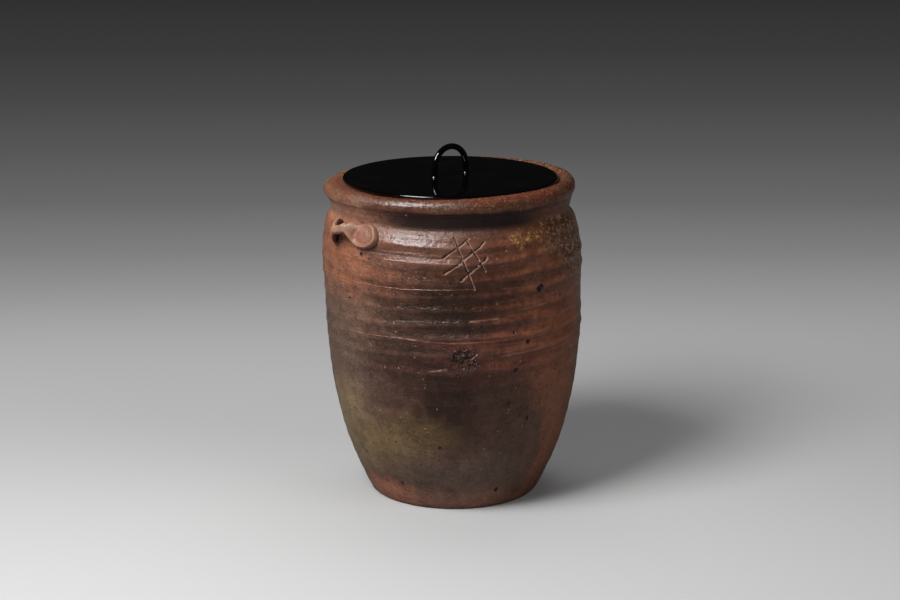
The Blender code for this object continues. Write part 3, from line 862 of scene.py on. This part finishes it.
def stoneware(name):
    # Wood-fired clay: flame marks over a streaked ground, then rings with a painted highlight on the crests
    # and painted shade in the valleys,
    #     # painted shade in the groove under the lip, grain, lip, ash, ear, burst, pits, hair lines and cuts,
    #     each mixed over the colour by a mask
    #     # that is a product of smooth steps, which noise bends. Their heights in millimetres add up for the
    #     bump
    paint = Paint(name)

    def edge(value, name, start=0.0, end=1.0):
        # How far a stretch of the clay has set in, between its pair of places
        return paint.ease(value, *edges[name], start, end)

    def lay(under, name, share):
        return paint.mix(share, under, tone(shades[name]))

    place = paint.add("ShaderNodeTexCoord", {}, {}, "Object")
    # Streaks lie along the rings, which climb a little towards the right
    slanted = paint.add("ShaderNodeMapping", {}, {"Vector": place, "Rotation": (0, math.radians(15), 0),
                                                  "Scale": (1, 1, 8)})
    streak = paint.noise(slanted, 30, 4.0, 0.6)
    hair = paint.noise(slanted, 44, 5.0, 0.7)
    drift = paint.noise(place, 26, 4.0, 0.6)
    swell = paint.noise(place, 21, 4.0, 0.6)
    cloud = paint.noise(place, 95, 4.0, 0.62)
    blotch = paint.noise(place, 240, 4.0, 0.65)
    sand = paint.noise(place, 620, 3.0, 0.6)
    grain = paint.noise(place, 1500, 2.0, 0.6)
    cell = paint.cells(place, 260)
    crumb = paint.cells(place, 380, "DISTANCE_TO_EDGE")
    ring = paint.add("ShaderNodeAttribute", {"attribute_name": "ring"}, {}, "Fac")
    wiped = paint.add("ShaderNodeAttribute", {"attribute_name": "wiped"}, {}, "Fac")
    rubbed = paint.add("ShaderNodeAttribute", {"attribute_name": "rubbed"}, {}, "Fac")
    apart = paint.add("ShaderNodeSeparateXYZ", {}, {"Vector": place}, "X")
    x, y, z = apart, apart.beside("Y"), apart.beside("Z")
    cloudy, blotchy, sandy, grainy = cloud - 0.5, blotch - 0.5, sand - 0.5, grain - 0.5
    upper = edge(z + cloudy * 0.03, "upper")
    uneven = (streak - 0.5) * (0.25 + 0.75 * upper) * edge(x, "streakLeft", 0.45, 1.0)

    # The shoulder's middle and the lip melted to a granular sheen, the left stayed smooth
    sheen = edge(x + uneven * 0.05, "sheenLeft") * edge(z + uneven * 0.05, "sheenLow")
    matt = edge(z + uneven * 0.006, "mattLow") * edge(z, "mattHigh", 1.0, 0.0)
    sheen = sheen * edge(x, "sheenRight", 1.0, 0.5) * (1 - matt)
    height = (0.5 + 0.05 * sheen) * blotch + (0.5 - 0.16 * sheen) * sand + (0.12 - 0.05 * sheen) * grain
    height = (height + 0.4 * cloud) * (0.6 + 0.4 * upper) + 0.45 * hair * (0.2 + 0.8 * upper)
    height = height * (1 - 0.25 * wiped)

    # Flame marks, on the wall's direction from the axis and on its height times a stretch
    stretch = 10
    radial = paint.maths("SQRT", x * x + y * y)
    around = paint.add("ShaderNodeCombineXYZ", {}, {
        "X": x / radial + 0.34 * (drift - 0.5),
        "Y": y / radial + 0.34 * (swell - 0.5),
        "Z": z * stretch + 0.34 * (drift - swell),
    })
    ragged = uneven * 0.6 + blotchy * 0.35
    colour = lay(tone(shades["streakDark"]), "streakPale", streak)
    colour = flameMarks(paint, colour, around, ragged, stretch)

    # Rings: crests redder, and paler as a painted highlight; valleys darker as painted shade
    crest = paint.ease(ring + uneven * 2.4 + blotchy * 1.2, 0.4, 1.3) * upper
    valley = paint.ease(ring + uneven * 1.4, 0.35, -0.25) * upper
    crestTintAndHighlight = lay(tone(shades["crestMiddle"]), "crestRight", edge(x, "crestRight"))
    colour = paint.mix(crest * 0.25, colour, crestTintAndHighlight)
    colour = lay(colour, "valley", valley * 0.3)

    # Painted shade in the groove under the lip, all but its ends: a dark colour where the lip's overhang
    # shades it
    grooveShade = edge(z, "grooveLow") * edge(z + cloudy * 0.003, "grooveHigh")
    grooveShade = grooveShade * edge(x + uneven * 0.03, "grooveLeft")
    grooveShade = grooveShade * edge(x, "grooveRight", 1.0, 0.15)
    colour = lay(colour, "grooveShade", grooveShade * 0.95)

    # Uneven tone and grain
    level = 0.9 + 1.0 * cloudy + 0.6 * uneven + 0.9 * blotchy + 1.1 * sandy
    grey = paint.add("ShaderNodeCombineColor", {}, {"Red": level, "Green": level, "Blue": level})
    colour = paint.mix(1.0, colour, grey, "MULTIPLY")

    # The lip: rust on its inner half, scorch in patches, painted shade as a dark line in the crease where it
    # meets the flare, and
    #     # pale ash that thickens towards the back
    top = edge(z + cloudy * 0.004, "lipLow") * edge(radial, "seatOut")
    inner = top * edge(radial + cloudy * 0.004, "rustOut")
    colour = lay(colour, "rust", inner * paint.ease(swell, 0.38, 0.56, 0.2, 0.7))
    scorch = top * paint.ease(cloudy + blotchy * 0.8, 0.02, 0.14)
    colour = lay(colour, "scorch", scorch * 0.55)
    # Painted shade: a dark line along the crease under the lip's bead
    seamHeight = 0.194
    seamShade = edge(paint.maths("ABSOLUTE", z - seamHeight + cloudy * 0.0012), "seamShade", 1.0, 0.0)
    seamShade = seamShade * edge(radial, "seamOut") * edge(x, "seamLeft", 0.35, 1.0)
    colour = lay(colour, "seamShade", seamShade * 0.5)
    lipDust = top * paint.ease(grainy + sandy * 0.8 + cloudy * 0.3, 0.02, 0.16)
    lipDust = lipDust * edge(y, "lipDustBack", 0.25, 0.7)
    colour = lay(colour, "lipDust", lipDust)
    height = height - 0.3 * seamShade + 0.2 * lipDust

    # Fly ash: yellow crumbs on the shoulder's right, and pale dust that caught all down that side
    ashy = edge(z + cloudy * 0.02, "yellowLow") * edge(z + cloudy * 0.01, "yellowHigh")
    ashy = ashy * edge(x + cloudy * 0.03, "yellowLeft") * edge(x, "yellowRight", 1.0, 0.0)
    yellow = ashy * paint.ease(sandy + blotchy * 0.9 + grainy * 0.6, 0.07, 0.14)
    dustHeight = 0.175
    dusty = edge(x + cloudy * 0.02 + (z - dustHeight) * 0.6, "paleLeft")
    dusty = dusty * edge(z, "paleLow") * edge(z, "paleHigh") * edge(y, "paleBack")
    dust = dusty * paint.ease(sandy + grainy * 0.5 + blotchy * 0.4, 0.04, 0.13)
    colour = lay(colour, "dustyClay", dusty * 0.5)
    colour = lay(colour, "yellowAsh", yellow * 0.85)
    colour = lay(colour, "paleAsh", dust * 0.75)
    height = height + 0.3 * yellow + 0.18 * dust

    # The ear's high parts are painted pale: ash caught there, and on the bar's upper side and the rim a
    # painted highlight. Its tucks and underside get painted shade
    colour = lay(colour, "ear", paint.ease(wiped, 0.6, 1.0) * 0.35)
    colour = lay(colour, "earAshHighlight", paint.ease(rubbed + cloudy * 0.8, 0.15, 1.0) * 0.3)
    colour = lay(colour, "earShade", paint.ease(rubbed, -0.1, -1.2) * 0.8)

    # The burst: cracked crumbs, scorched between, and raised crumbs painted pale on top, partly as painted
    # glints
    away = paint.distance(place, onWall(burst["azimuth"], burst["height"]))
    burnt = edge(away + blotchy * 0.045, "burst", 1.0, 0.0)
    crack = paint.ease(crumb + sandy * 0.35, 0.0, 0.12, 1.0, 0.0) * burnt
    knobAndGlint = paint.ease(crumb + sandy * 0.3, 0.16, 0.34) * paint.ease(blotch, 0.5, 0.6) * burnt
    colour = lay(colour, "burst", burnt * 0.3)
    colour = lay(colour, "crack", crack * 0.75)
    colour = lay(colour, "knobAndGlint", knobAndGlint * 0.6)
    height = height - 0.7 * crack + 0.5 * knobAndGlint

    # Pits, stones and pale grains, on the wall unrolled to a flat sheet
    turned = paint.maths("ARCTAN2", x, y * -1.0) * sheet["paint"]
    flat = paint.add("ShaderNodeCombineXYZ", {}, {"X": turned, "Y": z, "Z": 0.0})
    hollow = paint.largest(pitDepths(paint, flat, grainy * 0.001 + sandy * 0.0026))
    chance = paint.add("ShaderNodeSeparateXYZ", {}, {"Vector": cell.beside("Color")}, "X")
    tiny = paint.ease(cell + sandy * 0.3, 0.05, 0.2, 1.0, 0.0)
    darkSpeck = tiny * paint.ease(chance, 0.6, 0.7)
    paleSpeck = tiny * paint.ease(chance.beside("Y"), 0.8, 0.9)
    colour = lay(colour, "pit", paint.maths("MINIMUM", hollow * 2.0 + darkSpeck * 0.7, 0.94))
    colour = lay(colour, "paleSpeck", paleSpeck * 0.45)
    height = height - hollow - 0.35 * darkSpeck + 0.4 * paleSpeck

    # Raised hair lines, then cuts and scratches: painted shade as a dark line along each, and a pale
    # pushed-up bank, offset to one side as a painted highlight
    front = edge(radial, "outside")
    waved = paint.add("ShaderNodeCombineXYZ", {}, {"X": turned, "Y": z + blotchy * 0.0006, "Z": 0.0})
    raised = paint.largest(strokeMasks(paint, waved, hairs, sandy * 0.0006, 0.2, 1.1))
    raised = raised * front * paint.ease(streak + blotchy, 0.3, 0.65, 0.4, 1.0)
    # The hair lines are painted pale along their crest: a painted highlight
    colour = lay(colour, "hair", raised * 0.3)
    height = height + 0.3 * raised
    bentUp = z + cloudy * 0.002
    bent = paint.add("ShaderNodeCombineXYZ", {}, {"X": turned + blotchy * 0.002, "Y": bentUp, "Z": 0.0})
    aside = paint.vector("ADD", bent, (-0.0005, 0.0004, 0))
    frayed = sandy * 0.0012
    cutLineShade = paint.largest(strokeMasks(paint, bent, cuts + scratches, frayed, 0.2, 0.6))
    bankHighlights = paint.largest(strokeMasks(paint, aside, cuts + scratches, frayed, 0.4, 1.2))
    bankHighlights = paint.maths("MAXIMUM", bankHighlights - cutLineShade, 0.0) * front
    cutLineShade = cutLineShade * front
    # Pale banks are a painted highlight, the dark lines painted shade
    colour = lay(colour, "bank", bankHighlights * 0.7)
    colour = lay(colour, "cutShade", cutLineShade * 0.85)
    height = height + 0.3 * bankHighlights - 0.5 * cutLineShade

    bump = paint.add("ShaderNodeBump", {}, {"Strength": 1.0, "Distance": 0.001, "Height": height})
    rough = 0.39 - 0.21 * sheen + 0.25 * cloudy + 0.25 * blotchy + 0.3 * darkSpeck
    rough = rough + (0.09 - 0.2 * sheen) * wiped
    return paint.finish(paint.shader(
        {"Specular IOR Level": 0.56},
        {"Base Color": colour, "Roughness": rough, "Normal": bump},
    ))


gloss = {"deep": (3, 3, 3), "thin": (10, 7, 6), "rough": 0.045, "thinRough": 0.05, "peel": 0.00001}


def lacquer(name):
    # Black lacquer: a hard clear gloss with the faintest orange peel, and browner and duller where
    # a slow noise is over its middle
    paint = Paint(name)
    place = paint.add("ShaderNodeTexCoord", {}, {}, "Object")
    peel = paint.noise(place, 420, 2.0)
    worn = paint.noise(place, 60, 4.0, 0.6)
    colour = paint.mix(paint.ease(worn, 0.45, 0.8), tone(gloss["deep"]), tone(gloss["thin"]))
    rough = gloss["rough"] + gloss["thinRough"] * paint.ease(worn, 0.35, 0.75)
    bump = paint.add("ShaderNodeBump", {}, {"Strength": 0.3, "Distance": gloss["peel"], "Height": peel})
    return paint.finish(paint.shader({}, {"Base Color": colour, "Roughness": rough, "Normal": bump}))


# Stage, lamps and camera. The paper's grey is given by its distance from the object, as a share of
# the glow's length. A lamp has its name, azimuth, elevation, distance, width, height, power and
# whether gloss shows it

stage = {
    "floorSize": 9.0,
    "floorSteps": 40,
    "world": 0.006,
    "paper": ((182, 182, 182), (168, 168, 168)),
    "mirrored": (30, 30, 30),
    "litReach": (0.03, 0.42),
    "glowReach": (0.42, 0.85),
    "glowLength": 3.4,
    "squeeze": (0.35, 1, 0),
    "forward": (0, 0.25, 0),
    "greys": (
        (0.0, 0.74), (0.063, 0.6), (0.092, 0.53), (0.127, 0.5), (0.166, 0.41), (0.214, 0.305),
        (0.271, 0.21), (0.341, 0.136), (0.429, 0.095), (0.543, 0.063), (0.697, 0.042), (0.915, 0.03),
    ),
    "aim": (0, 0, 0.1),
    "lamps": (
        ("key", -46, 52, 1.15, 0.45, 0.45, 14.2, True),
        ("front", -40, 38, 1.25, 0.42, 0.16, 6.0, True),
        ("fill", 58, 24, 1.6, 1.1, 0.9, 8.0, False),
        ("top", 170, 66, 1.3, 0.9, 0.9, 4, False),
        ("back", -150, 25, 1.7, 1.0, 0.9, 3, False),
    ),
}
view = {"place": (-0.0014, -1.3, 0.4565), "tilt": 75.59, "lens": 83.8, "sensor": 36}


def backdrop():
    # Pale paper that darkens with distance from the object. Near it the paper takes light and shadow, and
    # reflections see it as
    #     # a painted darker grey; further off it glows with its own grey, in the view and in reflections: an
    #     emission that paints the lamps' falloff
    paint = Paint("paper")
    place = paint.add("ShaderNodeTexCoord", {}, {}, "Object")
    spread = paint.vector("MULTIPLY_ADD", place, stage["squeeze"], stage["forward"])
    away = paint.vector("LENGTH", spread, output="Value")
    share = away / stage["glowLength"]
    far = paint.add("ShaderNodeValToRGB", {"stops": stage["greys"]}, {"Fac": share}, "Color")
    nearTone, midTone = stage["paper"]
    near = paint.mix(paint.ease(away, *stage["litReach"]), tone(nearTone), tone(midTone))
    ray = paint.add("ShaderNodeLightPath", {}, {}, "Is Camera Ray")
    glossy = ray.beside("Is Glossy Ray")
    seen = paint.maths("MINIMUM", ray + ray.beside("Is Transmission Ray") + 0.2 * glossy, 1.0)
    near = paint.mix(glossy * 0.75, near, tone(stage["mirrored"]))
    lit = paint.shader({"Roughness": 1.0, "Specular IOR Level": 0.0}, {"Base Color": near})
    glow = paint.shader({"Base Color": (0, 0, 0, 1), "Roughness": 1.0, "Specular IOR Level": 0.0,
                         "Emission Strength": 1.0}, {"Emission Color": far})
    share = seen * paint.ease(away, *stage["glowReach"])
    both = paint.add("ShaderNodeMixShader", {}, {"Fac": share, "Shader": lit, "Shader_001": glow})
    return paint.finish(both)


def makeFloor():
    # One wide flat sheet, whose rows and columns stand at the squares of even steps, so that it is
    # finer near the object
    steps = stage["floorSteps"]
    corners = steps + 1
    line = np.linspace(-1, 1, corners)
    line = stage["floorSize"] / 2 * np.sign(line) * np.abs(line) ** 2
    x, y = np.meshgrid(line, line)
    points = np.column_stack((x.ravel(), y.ravel(), np.zeros(x.size)))
    row, column = np.meshgrid(np.arange(steps), np.arange(steps), indexing="ij")
    first = (row * corners + column).ravel()
    faces = np.column_stack((first, first + 1, first + corners + 1, first + corners))
    mesh = bpy.data.meshes.new("floor")
    mesh.from_pydata(points.tolist(), [], faces.tolist())
    floor = bpy.data.objects.new("floor", mesh)
    bpy.context.scene.collection.objects.link(floor)
    floor.data.materials.append(backdrop())


def makeLamps():
    for name, azimuth, elevation, distance, width, height, power, inGloss in stage["lamps"]:
        data = bpy.data.lights.new(name, "AREA")
        data.shape = "RECTANGLE"
        data.size = width
        data.size_y = height
        data.energy = power
        lamp = bpy.data.objects.new(name, data)
        a, e = math.radians(azimuth), math.radians(elevation)
        away = Vector((math.sin(a) * math.cos(e), -math.cos(a) * math.cos(e), math.sin(e)))
        lamp.location = Vector(stage["aim"]) + away * distance
        lamp.rotation_euler = (-away).to_track_quat("-Z", "Y").to_euler()
        lamp.visible_glossy = inGloss
        bpy.context.scene.collection.objects.link(lamp)


def makeWorld():
    world = bpy.data.worlds.new("studio")
    world.use_nodes = True
    shade = world.node_tree.nodes["Background"]
    shade.inputs["Color"].default_value = (1, 1, 1, 1)
    shade.inputs["Strength"].default_value = stage["world"]
    bpy.context.scene.world = world


def makeCamera():
    data = bpy.data.cameras.new("camera")
    data.lens = view["lens"]
    data.sensor_width = view["sensor"]
    camera = bpy.data.objects.new("camera", data)
    camera.location = view["place"]
    camera.rotation_euler = (math.radians(view["tilt"]), 0, 0)
    bpy.context.scene.collection.objects.link(camera)
    bpy.context.scene.camera = camera


for leftover in ("Cube", "Light", "Camera"):
    if leftover in bpy.data.objects:
        bpy.data.objects.remove(bpy.data.objects[leftover])

makeCamera()
makeWorld()
makeLamps()
makeFloor()
print("stage set")

clay = stoneware("stoneware_clay")
wall = makePot()
wall.data.materials.append(clay)
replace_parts(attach(wall, "jar"), "jar_body")
print("pot:", len(wall.data.polygons), "faces")
for node in ear["azimuths"]:
    strap = makeEar(node + "_clay", node)
    strap.data.materials.append(clay)
    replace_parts(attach(strap, "jar"), node)
print("ears on")
board = makeBoard()
board.data.materials.append(lacquer("lid_gloss"))
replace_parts(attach(board, "lid"), "lid_board")
arch = makeLoop()
arch.data.materials.append(lacquer("loop_gloss"))
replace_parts(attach(arch, "lid"), "lid_loop")
print("lid and loop on")

bpy.context.scene.view_settings.view_transform = "Standard"
